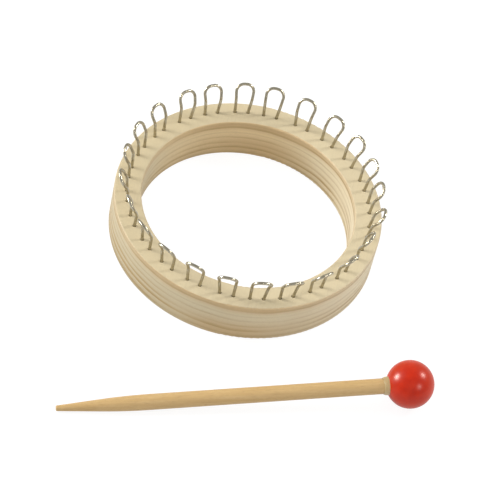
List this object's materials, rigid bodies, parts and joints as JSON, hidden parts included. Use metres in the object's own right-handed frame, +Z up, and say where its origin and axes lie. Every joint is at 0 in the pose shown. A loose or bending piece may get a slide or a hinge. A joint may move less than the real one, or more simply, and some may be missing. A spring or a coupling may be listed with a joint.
{
  "type": "round knitting loom",
  "caption": "Round knitting loom: a turned wooden ring set with bent wire loops round its top face, with a loose tapered wooden pick that ends in a ball.",
  "frame": {"origin": "on the ring's axis, at the height of the surface that the ring lies on", "axes": "+Z up along the ring's axis; +X to the right and +Y away from the front, where the pick lies"},
  "size_m": [0.1388, 0.1612, 0.0322],
  "materials": {
    "ring_wood": "turned and sanded pale softwood, no varnish",
    "wire": "bright nickel-plated steel wire",
    "stick_wood": "smooth dowel with a thin satin wax",
    "ball_lacquer": "gloss red lacquer over wood",
    "glue": "dried clear wood glue"
  },
  "bodies": {
    "loom": {"ring": "ring_wood", "loop_01": "wire", "loop_02": "wire", "loop_03": "wire", "loop_04": "wire", "loop_05": "wire", "loop_06": "wire", "loop_07": "wire", "loop_08": "wire", "loop_09": "wire", "loop_10": "wire", "loop_11": "wire", "loop_12": "wire", "loop_13": "wire", "loop_14": "wire", "loop_15": "wire", "loop_16": "wire", "loop_17": "wire", "loop_18": "wire", "loop_19": "wire", "loop_20": "wire", "loop_21": "wire", "loop_22": "wire", "loop_23": "wire", "loop_24": "wire"},
    "pick": {"pick_stick": "stick_wood", "pick_ball": "ball_lacquer", "glue_collar": "glue"}
  },
  "joints": [
    {"name": "pick_lift", "type": "slide", "parent": "loom", "child": "pick", "axis": [0, 0, 1], "range_m": [0, 0.1]}
  ]
}
